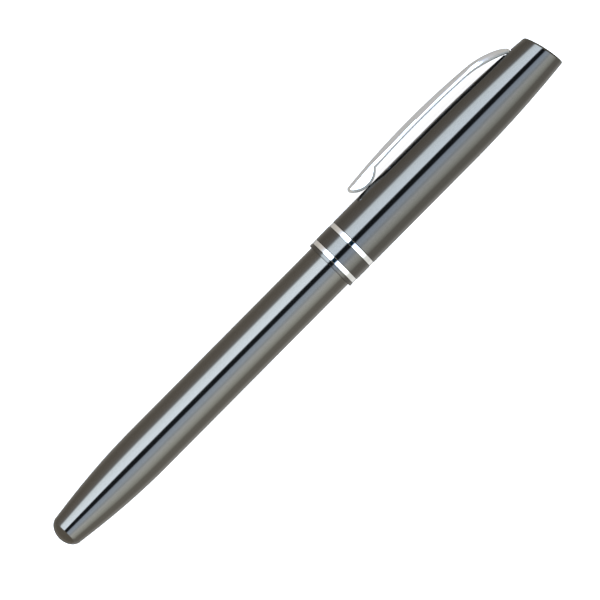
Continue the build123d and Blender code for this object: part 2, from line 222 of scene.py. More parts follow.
def turned(name, body, outline, material, replaced=()):
    """A piece turned about the pen's axis. An outline that ends on the axis is closed there."""
    closed = outline[0][1] > 0 and outline[-1][1] > 0
    vertices, faces = skin(rings(outline), closed)
    return finish_mesh(name, body, vertices, faces, material, replaced)


def ease_edges(piece, width, segments, limit):
    """Bevels the edges that bend by more than limit degrees, by a width in millimetres."""
    bevel = piece.modifiers.new("eased_edges", "BEVEL")
    bevel.width = width * MM
    bevel.segments = segments
    bevel.limit_method = "ANGLE"
    bevel.angle_limit = math.radians(limit)


# ---------------------------------------------------------------- materials


def shader_graph(name):
    material = bpy.data.materials.new(name)
    material.use_nodes = True
    nodes, links = material.node_tree.nodes, material.node_tree.links
    return material, nodes, links, nodes["Principled BSDF"]


def grain(nodes, links, size, stretch=(1, 1, 1), detail=3.0, roughness=0.5):
    """Noise in the piece's own coordinates, its grain a given size in millimetres."""
    coordinates = nodes.new("ShaderNodeTexCoord")
    mapping = nodes.new("ShaderNodeMapping")
    mapping.inputs["Scale"].default_value = stretch
    noise = nodes.new("ShaderNodeTexNoise")
    noise.inputs["Scale"].default_value = 1 / (size * MM)
    noise.inputs["Detail"].default_value = detail
    noise.inputs["Roughness"].default_value = roughness
    links.new(coordinates.outputs["Object"], mapping.inputs["Vector"])
    links.new(mapping.outputs["Vector"], noise.inputs["Vector"])
    return noise.outputs["Fac"]


def vary_colour(nodes, links, shader, fac, dark, light, low=0.35, high=0.65):
    ramp = nodes.new("ShaderNodeValToRGB")
    ramp.color_ramp.elements[0].position = low
    ramp.color_ramp.elements[0].color = (*dark, 1)
    ramp.color_ramp.elements[1].position = high
    ramp.color_ramp.elements[1].color = (*light, 1)
    links.new(fac, ramp.inputs["Fac"])
    links.new(ramp.outputs["Color"], shader.inputs["Base Color"])


def vary_roughness(nodes, links, shader, fac, smooth, rough, low=0.3, high=0.7):
    span = nodes.new("ShaderNodeMapRange")
    span.inputs["From Min"].default_value = low
    span.inputs["From Max"].default_value = high
    span.inputs["To Min"].default_value = smooth
    span.inputs["To Max"].default_value = rough
    links.new(fac, span.inputs["Value"])
    links.new(span.outputs["Result"], shader.inputs["Roughness"])


def raise_grain(nodes, links, shader, fac, height, strength):
    """Bump of a given height in millimetres."""
    bump = nodes.new("ShaderNodeBump")
    bump.inputs["Strength"].default_value = strength
    bump.inputs["Distance"].default_value = height * MM
    links.new(fac, bump.inputs["Height"])
    links.new(bump.outputs["Normal"], shader.inputs["Normal"])


def surface(name, dark, light, smooth, rough, metallic=0.0, grain_size=0.4, stretch=(1, 1, 1),
            bump_height=0.0, bump_strength=0.2, bump_size=None):
    """A finish whose colour and roughness vary over a grain, with an optional raised grain."""
    material, nodes, links, shader = shader_graph(name)
    shader.inputs["Metallic"].default_value = metallic
    fac = grain(nodes, links, grain_size, stretch)
    vary_colour(nodes, links, shader, fac, dark, light)
    vary_roughness(nodes, links, shader, fac, smooth, rough)
    if bump_height:
        relief = grain(nodes, links, bump_size or grain_size, stretch)
        raise_grain(nodes, links, shader, relief, bump_height, bump_strength)
    return material


def lacquer(name, dark, light):
    """Gunmetal lacquer: a mirror-like dark metal with a very fine metallic flake."""
    material, nodes, links, shader = shader_graph(name)
    shader.inputs["Metallic"].default_value = 0.97
    flake = grain(nodes, links, 0.09, detail=1.0)
    vary_colour(nodes, links, shader, flake, dark, light, low=0.30, high=0.72)
    cloud = grain(nodes, links, 1.6, stretch=(0.35, 1, 1), detail=2.0)
    vary_roughness(nodes, links, shader, cloud, smooth=0.06, rough=0.09)
    raise_grain(nodes, links, shader, flake, height=0.0006, strength=0.35)
    return material


GUNMETAL = lacquer("gunmetal_lacquer", (0.108, 0.100, 0.088), (0.138, 0.130, 0.116))
CAP_GUNMETAL = lacquer("gunmetal_lacquer_cap", (0.088, 0.083, 0.075), (0.116, 0.110, 0.100))
LIP = lacquer("lip_lacquer", (0.090, 0.086, 0.078), (0.118, 0.113, 0.104))
CLIP_CHROME = surface("clip_chrome", (0.746, 0.790, 0.860), (0.800, 0.846, 0.920), 0.05, 0.10,
                      metallic=1.0, grain_size=0.9, bump_height=0.0006, bump_size=0.1)
# Satin warm grey for the bevels beside the clip's underside: painted shade in place of their
# chrome.
CLIP_RIM_PAINTED_SHADE = surface("clip_rim_painted_shade", (0.275, 0.258, 0.225), (0.320, 0.300, 0.262), 0.50, 0.60,
                   metallic=0.1, grain_size=0.4, bump_height=0.0005, bump_size=0.1)
# Near-black dull finish for the clip's underside: painted shade, standing in for the shade under
# the clip and its dark reflection in the cap.
CLIP_UNDERSIDE_PAINTED_SHADE = surface("clip_underside_painted_shade", (0.020, 0.020, 0.021), (0.035, 0.035, 0.036), 0.35, 0.5,
                      metallic=0.3, grain_size=0.3, bump_height=0.001, bump_size=0.1)
CHROME = surface("chrome", (0.84, 0.85, 0.86), (0.90, 0.91, 0.92), 0.05, 0.10,
                 metallic=1.0, grain_size=0.8, bump_height=0.0004, bump_size=0.5)
BRASS = surface("brass", (0.62, 0.45, 0.20), (0.80, 0.62, 0.32), 0.22, 0.34, metallic=1.0,
                grain_size=0.15, stretch=(6, 1, 1), bump_height=0.002, bump_strength=0.3)
BLACK_PLASTIC = surface("black_plastic", (0.012, 0.012, 0.014), (0.020, 0.020, 0.023), 0.20, 0.30,
                        grain_size=0.5, bump_height=0.001, bump_strength=0.25, bump_size=0.12)
INNER_PLASTIC = surface("inner_plastic", (0.030, 0.030, 0.032), (0.045, 0.045, 0.048), 0.40, 0.55,
                        grain_size=0.6, bump_height=0.002, bump_strength=0.3, bump_size=0.15)
REFILL_PLASTIC = surface("refill_plastic", (0.66, 0.66, 0.63), (0.78, 0.78, 0.75), 0.32, 0.45,
                         grain_size=0.9, bump_height=0.001, bump_size=0.2)
PLUG_PLASTIC = surface("plug_plastic", (0.015, 0.016, 0.020), (0.030, 0.031, 0.036), 0.35, 0.5,
                       grain_size=0.5, bump_height=0.002, bump_strength=0.3, bump_size=0.12)
SPRING_STEEL = surface("spring_steel", (0.48, 0.49, 0.50), (0.66, 0.67, 0.68), 0.18, 0.30,
                       metallic=1.0, grain_size=0.08, bump_height=0.001, bump_strength=0.3)
NICKEL = surface("nickel_silver", (0.60, 0.58, 0.53), (0.78, 0.76, 0.71), 0.14, 0.24, metallic=1.0,
                 grain_size=0.10, stretch=(8, 1, 1), bump_height=0.001, bump_strength=0.3)
FIBRE = surface("ink_fibre", (0.035, 0.035, 0.10), (0.22, 0.22, 0.32), 0.85, 0.95,
                grain_size=0.12, stretch=(0.05, 1, 1), bump_height=0.02, bump_strength=0.6)

# ---------------------------------------------------------------- barrel

TAIL_DOME = (2.7, 3.49)     # length and radius of the rounded end
TAIL_SLOPE = 0.125          # how fast the tail opens just above its dome
TAIL_HANDLE, CYLINDER_HANDLE = 0.2, 0.45    # shares of the taper its curve takes to turn
TAPER_END = 25.5            # from here on the barrel is a plain cylinder
LEAD_START, LEAD_RADIUS = 76.75, 5.02       # the slight cone that leads the cap on, under its lip
SPRING_SEAT = [(13.5, 4.0), (3.0, 2.9), (3.0, 0)]   # the narrow end of the bore


def ellipse_quarter(length, radius, count):
    """From the tip on the axis round to full radius."""
    angles = [math.pi / 2 * i / count for i in range(count + 1)]
    return [(length * (1 - math.cos(a)), radius * math.sin(a)) for a in angles]


def build_barrel():
    _, mouth, radius = node_span("barrel_shell")
    _, _, bush_radius = node_span("barrel_bush")
    bore = bush_radius + FIT_GAP
    dome_length, dome_radius = TAIL_DOME
    taper = TAPER_END - dome_length
    reach = TAIL_HANDLE * taper
    outline = ellipse_quarter(dome_length, dome_radius, 40)
    outline += bezier(
        (dome_length, dome_radius), (dome_length + reach, dome_radius + reach * TAIL_SLOPE),
        (TAPER_END - CYLINDER_HANDLE * taper, radius), (TAPER_END, radius), 60,
    )[1:]
    outline += rounded(
        (TAPER_END + 1, radius), (LEAD_START, radius, 0.03), (mouth, LEAD_RADIUS, 0.12),
        (mouth, bore, 0.08), (TAPER_END, bore), closed=False,
    )
    outline += SPRING_SEAT
    turned("barrel_body", "barrel", outline, GUNMETAL, ["barrel_shell"])


build_barrel()

# ---------------------------------------------------------------- cap

CAP_STRAIGHT_END = 112.0
CAP_SHOULDER_CURVE = 260.0  # radius of the long arc that narrows the cap
CAP_WALL_BORE = 5.14
CAP_SEAT_BORE = 4.35        # where the wall has narrowed to the crown's seat
CROWN_CURVE = 24.5          # radius of the big ball that the slanted top is a patch of
CROWN_CENTRE = (113.98, -5.0)
CROWN_NEAR = 137            # near the slanted top: the shell's radius here gives its edge
CROWN_EDGE = 0.35
CROWN_SEAT = 133.5
PLUG_RADIUS = 4.0
SEAM_BEVEL, SEAM_DEPTH = 0.07, 0.06     # the fine groove between the shell and the plug
SEAM_SUPPORT = 0.1          # rows this far in keep the plug's surfaces beside it smooth
SLOT = (131.2, 133.05)
SLOT_HALF_WIDTH = 1.55
SLOT_HEIGHTS = (3.0, 8.0)   # between these the cutter goes through the wall
SLOT_CORNER = 0.3
UPRIGHT = 0.9               # the least of an edge's length that stands towards the clip
MOUTH_BORE, LIP_BORE = 4.76, 5.26
RING_SEAT = 5.42
RING_SEAM = 0.03            # between the lip and the first ring
CLUTCH_GROOVE, CLUTCH_GROOVE_RADIUS = (80.2, 81.9), 5.14


def crown_height(radius, turn):
    """Where the slanted top lies, at a radius and an angle from the clip."""
    up = radius * math.cos(turn) - CROWN_CENTRE[1]
    across = radius * math.sin(turn)
    return CROWN_CENTRE[0] + math.sqrt(CROWN_CURVE**2 - up**2 - across**2)


def crown_row(radius, sunk=0.0):
    """A ring of the slanted top at one radius, or of points sunk below it."""
    return [(crown_height(radius, turn) - sunk, radius) for turn in TURNS]


def shoulder_radius(x, straight_radius):
    along = max(0.0, x - CAP_STRAIGHT_END)
    return straight_radius - CAP_SHOULDER_CURVE + math.sqrt(CAP_SHOULDER_CURVE**2 - along**2)


def shell_rows():
    """Rings of the cap shell from its lower edge, over the slanted top and down its bore."""
    start, _, _ = node_span("cap_shell")
    radius = node_span("centre_band")[2]
    edge = rounded((start, CAP_WALL_BORE + 0.1), (start, radius, 0.10), (start + 3, radius),
                   closed=False)
    rows = rings(edge + [(CAP_STRAIGHT_END, radius)])
    edge_radius = shoulder_radius(CROWN_NEAR, radius)
    tops = [crown_height(edge_radius, turn) - CROWN_EDGE for turn in TURNS]
    steps = 48
    for i in range(1, steps + 1):
        ends = [CAP_STRAIGHT_END + (top - CAP_STRAIGHT_END) * i / steps for top in tops]
        rows.append([(x, shoulder_radius(x, radius)) for x in ends])
    easing = 8
    for i in range(1, easing + 1):
        bend = math.pi / 2 * i / easing
        row = []
        for turn, top in zip(TURNS, tops):
            eased = shoulder_radius(top, radius) - CROWN_EDGE * (1 - math.cos(bend))
            rise = crown_height(eased, turn) - top
            row.append((top + rise * math.sin(bend), eased))
        rows.append(row)
    rows.append(crown_row(PLUG_RADIUS + SEAM_BEVEL))
    rows.append(crown_row(PLUG_RADIUS, SEAM_DEPTH))
    rows += rings([(CROWN_SEAT, PLUG_RADIUS), (CROWN_SEAT, CAP_SEAT_BORE),
                   (CAP_STRAIGHT_END, CAP_WALL_BORE), (start, CAP_WALL_BORE)])
    return rows


def slot_cutter():
    """A block with rounded upright edges, where the clip's neck passes through the cap."""
    start, end = SLOT
    corners = [(start, -SLOT_HALF_WIDTH), (end, -SLOT_HALF_WIDTH),
               (end, SLOT_HALF_WIDTH), (start, SLOT_HALF_WIDTH)]
    vertices = [place(x, height, side) for height in SLOT_HEIGHTS for x, side in corners]
    faces = [(0, 1, 2, 3), (7, 6, 5, 4), (0, 4, 5, 1), (1, 5, 6, 2), (2, 6, 7, 3), (3, 7, 4, 0)]
    mesh = new_mesh("slot_cutter", vertices, faces)
    cutter = new_object("slot_cutter", mesh)
    work = bmesh.new()
    work.from_mesh(mesh)
    bmesh.ops.recalc_face_normals(work, faces=work.faces)
    upright = [edge for edge in work.edges
               if abs((edge.verts[0].co - edge.verts[1].co).normalized().dot(CLIP)) > UPRIGHT]
    bmesh.ops.bevel(work, geom=upright, offset=SLOT_CORNER * MM, segments=5, affect="EDGES",
                    profile=0.5)
    work.to_mesh(mesh)
    work.free()
    return cutter


def cut_slot(cap):
    cutter = slot_cutter()
    modifier = cap.modifiers.new("slot", "BOOLEAN")
    modifier.object = cutter
    modifier.operation = "DIFFERENCE"
    modifier.solver = "MANIFOLD"
    bpy.context.view_layer.update()
    evaluated = cap.evaluated_get(bpy.context.evaluated_depsgraph_get())
    cut = bpy.data.meshes.new_from_object(evaluated)
    cap.modifiers.clear()
    cap.data = cut
    cut.set_sharp_from_angle(angle=SHARP_ANGLE)
    bpy.data.objects.remove(cutter)


def build_crown_plug():
    rim = PLUG_RADIUS - FIT_GAP
    seat = CROWN_SEAT + FIT_GAP
    rows = rings([(seat, 0.0), (seat, rim)])
    rows += [crown_row(rim, SEAM_SUPPORT), crown_row(rim, SEAM_BEVEL), crown_row(rim - SEAM_BEVEL)]
    steps = 16
    for i in range(1, steps + 1):
        rows.append(crown_row((rim - SEAM_SUPPORT) * (1 - i / steps)))
    vertices, faces = skin(rows, False)
    finish_mesh("crown_plug", "cap", vertices, faces, CAP_GUNMETAL, ["crown"])


def build_mouth():
    """The bush in the cap's mouth: its lip shows, and the rings sit round it."""
    start, end, lip_radius = node_span("mouth_bush")
    lip_end = node_span("cap_ring_lower")[0] - RING_SEAM
    rings_end = node_span("cap_ring_upper")[1]
    step = node_span("barrel_shell")[1] + RUN_GAP
    bush_radius = CAP_WALL_BORE - FIT_GAP
    groove_start, groove_end = CLUTCH_GROOVE
    outline = rounded(
        (start, LIP_BORE, 0.05), (start, lip_radius, 0.09), (lip_end, lip_radius, 0.05),
        (lip_end, RING_SEAT, 0.02), (rings_end, RING_SEAT, 0.02), (rings_end, bush_radius, 0.02),
        (end, bush_radius, 0.1), (end, MOUTH_BORE, 0.1), (groove_end, MOUTH_BORE, 0.02),
        (groove_end, CLUTCH_GROOVE_RADIUS, 0.02), (groove_start, CLUTCH_GROOVE_RADIUS, 0.02),
        (groove_start, MOUTH_BORE, 0.02), (step, MOUTH_BORE, 0.03), (step, LIP_BORE, 0.03),
    )
    turned("cap_mouth", "cap", outline, LIP, ["mouth_bush"])


def build_ring(name, node, fillet, material):
    start, end, radius = node_span(node)
    seat = RING_SEAT + FIT_GAP
    outline = rounded((start, seat), (start, radius, fillet), (end, radius, fillet), (end, seat))
    turned(name, "cap", outline, material, [node])


def build_cap():
    vertices, faces = skin(shell_rows(), True)
    cap = finish_mesh("cap_body", "cap", vertices, faces, CAP_GUNMETAL,
                      ["cap_shell"])
    cut_slot(cap)
    build_crown_plug()
    build_mouth()
    for node in ("cap_ring_lower", "cap_ring_upper"):
        build_ring(node + "_band", node, 0.16, CHROME)
    build_ring("centre_sleeve", "centre_band", 0.07, CAP_GUNMETAL)


build_cap()

# ---------------------------------------------------------------- clip, outside the cap

TIP_TOP, TIP_NOSE, TIP_UNDER = (90.60, 8.50), (89.94, 7.84), (90.11, 7.40)
TIP_RADIUS = 0.66
TIP_TURN = math.radians(200)        # where the tip's arc has got to, half way to its underside
FOOT_BELLY, FOOT_HEEL = (93.4, 5.735), (97.2, 7.36)
TOP_CREST, TOP_END = (107.0, 9.42), (124.5, 8.66)
UNDER_CREST, UNDER_END = (110.2, 7.66), (123.2, 7.24)
NECK_TOP, NECK_UNDER = (132.78, 5.02), (131.85, 4.84)
NECK_TOP_HANDLES = ((128.2, 8.31), (132.75, 6.3))
NECK_UNDER_HANDLES = ((125.8, 7.07), (129.6, 5.95))
NECK_DEPTHS = (4.85, 4.65, 4.40)    # heights down to which the neck runs on inside the slot
NECK_UNDER_SHIFT = (0.02, -0.05)    # and how far its underside is from those points

# Half widths in plan, and where the clip has them.
PLAN_TIP, PLAN_WIDEST, PLAN_NECK = (89, 1.50), (122, 1.75), (133, 1.45)
NOSE_LENGTH, NOSE_SHARE = 1.6, 0.55         # the very tip has this share of its width

SIDE_DRAFT = math.tan(math.radians(12))     # the sides lean in towards the top
LEAST_STEEP = 0.6           # where the top slopes, the lean is reckoned with at least this
LEAST_FLAT = 0.1            # half width that the top keeps
TOP_CAMBER = ((0.0, 0.0), (0.6, 0.03), (1.0, 0.07))     # shares of its half width, and the drop

# Depths of the bevels. An amount goes with the stretch of the clip over which it comes or goes.
SHOULDER = 1.04             # along the top, less these three
SHOULDER_NOSE = (0.12, 90.4, 92.5)
SHOULDER_FOOT = (0.34, 94.0, 104.0)
SHOULDER_NECK = (0.42, 108.0, 128.0)
LAND = 0.38                 # along the underside, and more on the foot
LAND_FOOT = (0.16, 96.5, 99.0)
LAND_SLOPE = 0.5            # its width for its depth
SHOULDER_LIMIT, LAND_LIMIT = (0.5, 0.2), (0.4, 0.1)     # share of the thickness, and excess

CHANNEL_OPENS, CHANNEL_CLOSES = (98.5, 100.0), (123.0, 125.0)
CHANNEL_ROOF, CHANNEL_WALL = 0.75, 0.42     # the metal left over the hollow and beside it
CHANNEL_DRAFT = 0.03

DOWNWARD, STRAIGHT_DOWN = -0.2, 0.3     # how a face looks to count as underneath, and as flat, for the painted shade
PAINTED_SHADE_START = 0.6          # the painted shade on the underside begins this far from the tip


def ease(x, start, end):
    """Nought before start, one after end, smooth between."""
    t = min(1.0, max(0.0, (x - start) / (end - start)))
    return t * t * (3 - 2 * t)


def going(x, amount, start, end):
    """An amount that is all there before start and gone after end."""
    return amount * (1 - ease(x, start, end))


def coming(x, amount, start, end):
    """An amount that isn't there before start and is all there after end."""
    return amount * ease(x, start, end)


def half_width(x):
    """Half the clip's width: widest two thirds of the way up, rounded off at the tip."""
    ends = (PLAN_TIP, PLAN_WIDEST) if x < PLAN_WIDEST[0] else (PLAN_WIDEST, PLAN_NECK)
    (start, first), (end, last) = ends
    width = first + (last - first) * (x - start) / (end - start)
    nose = min(1.0, max(0.0, (x - TIP_NOSE[0]) / NOSE_LENGTH))
    return width * (NOSE_SHARE + (1 - NOSE_SHARE) * math.sqrt(1 - (1 - nose) ** 2))


def inward(chain, index, side):
    """The direction into the metal at a point of a chain: side is -1 above and 1 below."""
    before, after = chain[max(0, index - 1)], chain[min(len(chain) - 1, index + 1)]
    dx, dy = after[0] - before[0], after[1] - before[1]
    length = math.hypot(dx, dy)
    return (-side * dy / length, side * dx / length)


def clip_chains():
    """Matching points along the top and the underside of the clip, from its nose to its neck."""
    nose, foot, reach, neck, fine = 10, 34, 60, 40, 1000
    corner = math.sqrt(0.5) * TIP_RADIUS
    centre = (TIP_TOP[0], TIP_NOSE[1])
    top = arc_through(TIP_NOSE, (centre[0] - corner, centre[1] + corner), TIP_TOP, nose)
    long_arc = arc_through(TIP_TOP, TOP_CREST, TOP_END, fine)
    split = next(i for i, p in enumerate(long_arc) if p[0] > FOOT_HEEL[0])
    top += [long_arc[round(split * i / foot)] for i in range(1, foot + 1)]
    top += [long_arc[round(split + (fine - split) * i / reach)] for i in range(1, reach + 1)]
    top += bezier(TOP_END, *NECK_TOP_HANDLES, NECK_TOP, neck)[1:]
    top += [(NECK_TOP[0], height) for height in NECK_DEPTHS]
    under_middle = (centre[0] + TIP_RADIUS * math.cos(TIP_TURN),
                    centre[1] + TIP_RADIUS * math.sin(TIP_TURN))
    under = arc_through(TIP_NOSE, under_middle, TIP_UNDER, nose)
    under += arc_through(TIP_UNDER, FOOT_BELLY, FOOT_HEEL, foot)[1:]
    under += arc_through(FOOT_HEEL, UNDER_CREST, UNDER_END, reach)[1:]
    under += bezier(UNDER_END, *NECK_UNDER_HANDLES, NECK_UNDER, neck)[1:]
    back, down = NECK_UNDER_SHIFT
    under += [(NECK_UNDER[0] + back, height + down) for height in NECK_DEPTHS]
    return top, under


def limited(depth, thickness, share, excess):
    """A bevel's depth, less where the bar is thin."""
    return min(depth, share * thickness + excess)


def inset(point, direction, distance):
    return point[0] + direction[0] * distance, point[1] + direction[1] * distance


def clip_section(top, under, index):
    """A cross-section of the clip, from the top's middle round to the bottom's.

    Its points are (x, height, side).
    """
    upper, lower = top[index], under[index]
    x = upper[0]
    into_top, into_under = inward(top, index, -1), inward(under, index, 1)
    thickness = math.hypot(upper[0] - lower[0], upper[1] - lower[1])
    shoulder = (SHOULDER - going(x, *SHOULDER_NOSE) - going(x, *SHOULDER_FOOT)
                - coming(x, *SHOULDER_NECK))
    shoulder = limited(shoulder, thickness, *SHOULDER_LIMIT)
    land = limited(LAND + going(x, *LAND_FOOT), thickness, *LAND_LIMIT)
    shoulder_point = inset(upper, into_top, shoulder)
    land_point = inset(lower, into_under, land)

    wide = half_width(x)
    face = math.hypot(shoulder_point[0] - land_point[0], shoulder_point[1] - land_point[1])
    steep = max(LEAST_STEEP, abs(into_top[1]))
    lean = min(face * SIDE_DRAFT / steep, 0.5 * wide)
    flat = max(LEAST_FLAT, wide - lean - shoulder)
    rim = wide - LAND_SLOPE * land
    hollow = rim - CHANNEL_WALL
    solid = max(1 - ease(x, *CHANNEL_OPENS), ease(x, *CHANNEL_CLOSES))
    channel = max(0.0, (thickness - CHANNEL_ROOF) * (1 - solid))
    deep = inset(lower, into_under, channel)
    return [(*inset(upper, into_top, drop), share * flat) for share, drop in TOP_CAMBER] + [
        (*shoulder_point, wide - lean),
        ((shoulder_point[0] + land_point[0]) / 2, (shoulder_point[1] + land_point[1]) / 2,
         wide - lean / 2),
        (*land_point, wide),
        (*lower, rim),
        (*lower, hollow),
        (*deep, hollow - CHANNEL_DRAFT),
        (*deep, 0.0),
    ]


def paint_underside_shade(clip):
    """Paints shade on the underside: faces looking at the cap get dark dull painted shade, bevels
    beside them satin grey painted shade.
    """
    clip.data.materials.append(CLIP_UNDERSIDE_PAINTED_SHADE)
    clip.data.materials.append(CLIP_RIM_PAINTED_SHADE)
    # Slots 1 and 2 hold painted shade: the dark inside and the satin grey rim bevels.
    inside, rim = 1, 2
    start = place(TIP_UNDER[0] + PAINTED_SHADE_START, 0).x
    for face in clip.data.polygons:
        if face.normal.dot(CLIP) < DOWNWARD:
            flat = abs(face.normal.dot(SIDE)) < STRAIGHT_DOWN
            face.material_index = inside if flat and face.center.x > start else rim


def build_clip():
    top, under = clip_chains()
    vertices, faces = [], []
    for index in range(len(top)):
        half = clip_section(top, under, index)
        mirrored = [(x, height, -side) for x, height, side in reversed(half[1:-1])]
        vertices += [place(*point) for point in half + mirrored]
    size = len(vertices) // len(top)
    last = len(vertices) - size
    for here in range(0, last, size):
        for k in range(size):
            n = (k + 1) % size
            faces.append((here + k, here + n, here + size + n, here + size + k))
    faces.append(tuple(range(size)))
    faces.append(tuple(last + k for k in reversed(range(size))))
    clip = finish_mesh("clip_bar", "clip", vertices, faces, CLIP_CHROME, ["clip"])
    # painted shade on the faces under the clip
    paint_underside_shade(clip)
    ease_edges(clip, width=0.05, segments=3, limit=24)
    flat = clip.modifiers.new("flat_faces", "WEIGHTED_NORMAL")
    flat.weight = 100


build_clip()

# ---------------------------------------------------------------- clip, inside the cap

TANG_NECK = [(131.95, 4.6), (132.6, 4.6)]
TANG_SIDE = 132.7           # where the neck meets the eye
TANG_HALF_WIDTH = 1.2
EYE_RADIUS = 1.1
LEVER_HALF_LENGTH, LEVER_HEIGHT = 0.55, 2.0     # the lever below the pin, on the spring


def build_tang():
    """The neck, the eye round the pin and the lever on the spring."""
    pivot = Vector(joint("clip_lift")["pos_m"]) - Vector((TAIL, 0, 0))
    px, ph = pivot.x / MM, pivot.dot(CLIP) / MM

    def eye(*degrees):
        """Points round the eye, at angles down from the pen's cap end."""
        turns = [math.radians(-d) for d in degrees]
        return [(px + EYE_RADIUS * math.cos(a), ph + EYE_RADIUS * math.sin(a)) for a in turns]

    outline = TANG_NECK + [(TANG_SIDE, ph)] + eye(20, 35, 50)
    outline += [(px + LEVER_HALF_LENGTH, ph - LEVER_HEIGHT),
                (px - LEVER_HALF_LENGTH, ph - LEVER_HEIGHT)]
    outline += eye(130, 150, 170, 190, 210)
    vertices = [place(x, height, side) for side in (-TANG_HALF_WIDTH, TANG_HALF_WIDTH)
                for x, height in outline]
    count = len(outline)
    faces = [tuple(range(count)), tuple(range(2 * count - 1, count - 1, -1))]
    faces += [(k, (k + 1) % count, count + (k + 1) % count, count + k) for k in range(count)]
    tang = finish_mesh("clip_tang", "clip", vertices, faces, CHROME, ["clip"])
    ease_edges(tang, width=0.06, segments=2, limit=30)


build_tang()

# ---------------------------------------------------------------- grip, seen with the cap off

SLEEVE_END, SLEEVE_SEAT = 90.02, 3.6    # the sleeve of the coupler that the grip sits on
GRIP_GROOVE, GRIP_GROOVE_RADIUS = (80.2, 80.5, 81.6, 81.9), 4.22
GRIP_TAPER_START = 88.0
GRIP_TAPER_HANDLES = (95.0, 101.0)
GRIP_WAIST, GRIP_WAIST_RADIUS = 108.0, 3.85
GRIP_FRONT_HANDLES = (109.5, 111.0)
GRIP_FRONT_RADIUS = 4.0
GRIP_FRONT_EDGE = [(0.12, 0.0), (0.05, 0.02), (0.0, 0.08)]  # back from its end and in from there
SPIGOT_START, SPIGOT_RADIUS, SPIGOT_BORE = 106.0, 3.38, 3.12
SPIGOT_SEAT = 3.4
CONE_BACK, CONE_FRONT_RADIUS = 112.02, 1.55
TIP_BORE, TIP_BORE_START = 1.27, 115.1
NOSE_BORE, NOSE_BORE_START = 2.42, 108.96


def build_trim_collar():
    start, end, radius = node_span("section_trim_ring")
    outline = rounded((start, SLEEVE_SEAT), (start, radius, 0.2), (end, radius, 0.2),
                      (end, SLEEVE_SEAT))
    turned("trim_collar", "section", outline, CHROME, ["section_trim_ring"])


def build_grip():
    start, end, radius = node_span("grip_section")
    rise, floor_start, floor_end, fall = GRIP_GROOVE
    outline = rounded(
        (start, SLEEVE_SEAT), (start, radius, 0.15), (rise, radius, 0.15),
        (floor_start, GRIP_GROOVE_RADIUS, 0.1), (floor_end, GRIP_GROOVE_RADIUS, 0.1),
        (fall, radius, 0.15), (GRIP_TAPER_START, radius), closed=False,
    )
    waist = (GRIP_WAIST, GRIP_WAIST_RADIUS)
    first, second = GRIP_TAPER_HANDLES
    outline += bezier((GRIP_TAPER_START, radius), (first, radius), (second, GRIP_WAIST_RADIUS),
                      waist, 40)[1:]
    edge = [(end - back, GRIP_FRONT_RADIUS - down) for back, down in GRIP_FRONT_EDGE]
    first, second = GRIP_FRONT_HANDLES
    outline += bezier(waist, (first, GRIP_WAIST_RADIUS), (second, GRIP_FRONT_RADIUS),
                      edge[0], 10)[1:]
    outline += edge[1:]
    outline += [(end, SPIGOT_SEAT), (SPIGOT_START, SPIGOT_SEAT), (SPIGOT_START, SPIGOT_BORE),
                (SLEEVE_END, SPIGOT_BORE), (SLEEVE_END, SLEEVE_SEAT)]
    turned("grip_sleeve", "section", outline, BLACK_PLASTIC, ["grip_section"])


def build_nose():
    start, end, radius = node_span("nose_cone")
    outline = rounded(
        (start, SPIGOT_BORE), (start, SPIGOT_RADIUS, 0.05), (CONE_BACK, SPIGOT_RADIUS),
        (CONE_BACK, radius, 0.14), (end, CONE_FRONT_RADIUS, 0.12), (end, TIP_BORE, 0.05),
        (TIP_BORE_START, TIP_BORE), (TIP_BORE_START, NOSE_BORE), (NOSE_BORE_START, NOSE_BORE),
        (NOSE_BORE_START, SPIGOT_BORE),
    )
    turned("nose_shell", "section", outline, CHROME, ["nose_cone"])


build_trim_collar()
build_grip()
build_nose()

# ---------------------------------------------------------------- the CAD pieces that stay

CARRIED = {
    "barrel_bush": BRASS, "section_coupler": BRASS, "refill_spring": SPRING_STEEL,
    "refill_tube": REFILL_PLASTIC, "refill_plug": PLUG_PLASTIC, "ink_reservoir": FIBRE,
    "feed_rod": FIBRE, "tip_holder": REFILL_PLASTIC, "writing_tip": NICKEL,
    "writing_ball": NICKEL, "clutch_ring": SPRING_STEEL, "inner_cap": INNER_PLASTIC,
    "clip_carrier": INNER_PLASTIC, "clip_pin": SPRING_STEEL, "clip_spring": SPRING_STEEL,
    "crown_screw": SPRING_STEEL,
}
for node, finish in CARRIED.items():
    mesh = frame["nodes"][node].data
    mesh.materials.clear()
    mesh.materials.append(finish)

# ---------------------------------------------------------------- floor

TABLE_HALF = 1.5            # metres
TABLE_GLOW = 0.88           # the table is a white light box


def build_floor():
    corners = [(TABLE_HALF * x, TABLE_HALF * y, FLOOR)
               for x, y in ((-1, -1), (1, -1), (1, 1), (-1, 1))]
    mesh = new_mesh("floor", corners, [(0, 1, 2, 3)])
    floor = new_object("floor", mesh)
    glow = surface("pale_floor", (0.55, 0.55, 0.55), (0.60, 0.60, 0.60), 0.6, 0.7, grain_size=20)
    shader = glow.node_tree.nodes["Principled BSDF"]
    shader.inputs["Emission Color"].default_value = (1, 1, 1, 1)
    shader.inputs["Emission Strength"].default_value = TABLE_GLOW
    mesh.materials.append(glow)
    floor.visible_glossy = False


build_floor()

# ---------------------------------------------------------------- studio light
# A tent of long soft panels hung parallel to the pen. Each stop is an angle round the pen, in
# degrees from square to the clip's side, positive away from the clip, and the light seen there.

